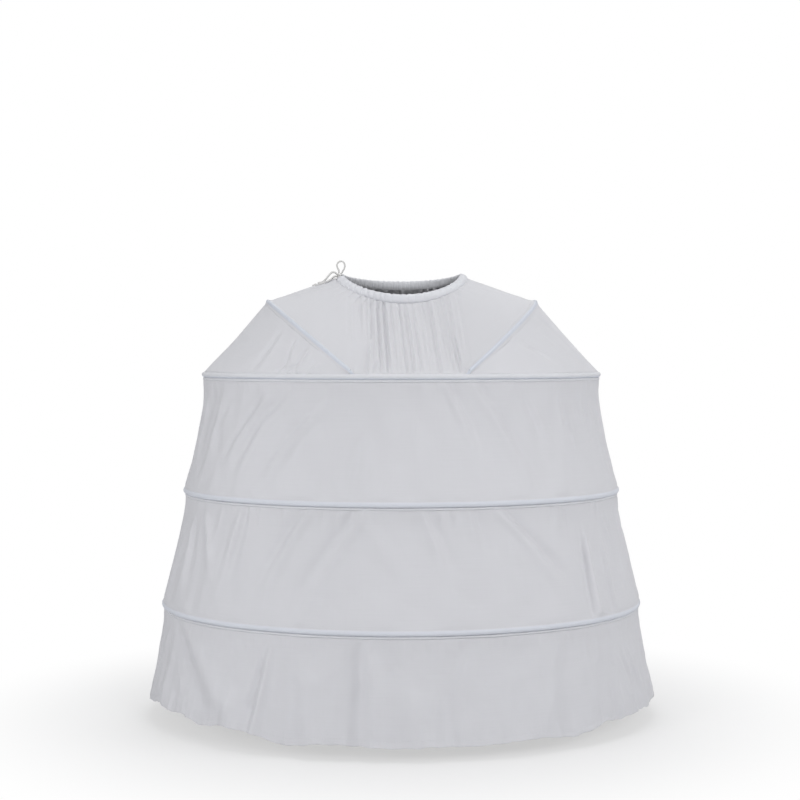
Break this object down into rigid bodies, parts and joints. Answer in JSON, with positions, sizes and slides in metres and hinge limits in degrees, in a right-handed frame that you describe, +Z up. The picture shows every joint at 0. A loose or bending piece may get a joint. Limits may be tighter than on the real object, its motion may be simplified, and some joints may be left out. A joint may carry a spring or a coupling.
{
  "type": "hoop petticoat",
  "caption": "Cloth-covered hoop petticoat of pannier shape, with hip arcs and sprung hoops in sewn casings, a gathered drawstring waist and a free flounce.",
  "frame": {"origin": "middle of the waist opening, level with the top of the waist casing at its sides", "axes": "+Z up, -Y to the wearer's front, +X to the wearer's left"},
  "size_m": [1.2134, 1.0844, 1.0456],
  "materials": {
    "cotton": "plain-weave white cotton, washed, matte",
    "casing": "folded white cotton tape, stitched, matte",
    "string": "twisted white cotton cord",
    "wire": "plastic-coated spring wire",
    "ferrule": "plain drawn metal"
  },
  "bodies": {
    "root": {"waist_casing": "cotton", "drawstring": "string", "bow_knot": "string", "bow_loop_upright": "string", "bow_loop_flat": "string", "bow_tail_front": "string", "bow_tail_back": "string", "tail_knots": "string", "front_yoke": "cotton", "back_yoke": "cotton", "left_hip_gusset": "cotton", "right_hip_gusset": "cotton", "left_hip_casing": "casing", "right_hip_casing": "casing", "left_hip_bone": "wire", "right_hip_bone": "wire", "hip_bone_tips": "ferrule", "upper_hoop_casing": "casing", "middle_hoop_casing": "casing", "lower_hoop_casing": "casing", "upper_hoop": "wire", "middle_hoop": "wire", "lower_hoop": "wire", "upper_hoop_joiner": "ferrule", "middle_hoop_joiner": "ferrule", "lower_hoop_joiner": "ferrule", "front_upper_tier": "cotton", "back_upper_tier": "cotton", "front_middle_tier": "cotton", "back_middle_tier": "cotton", "front_flounce": "cotton", "back_flounce": "cotton"}
  },
  "joints": []
}
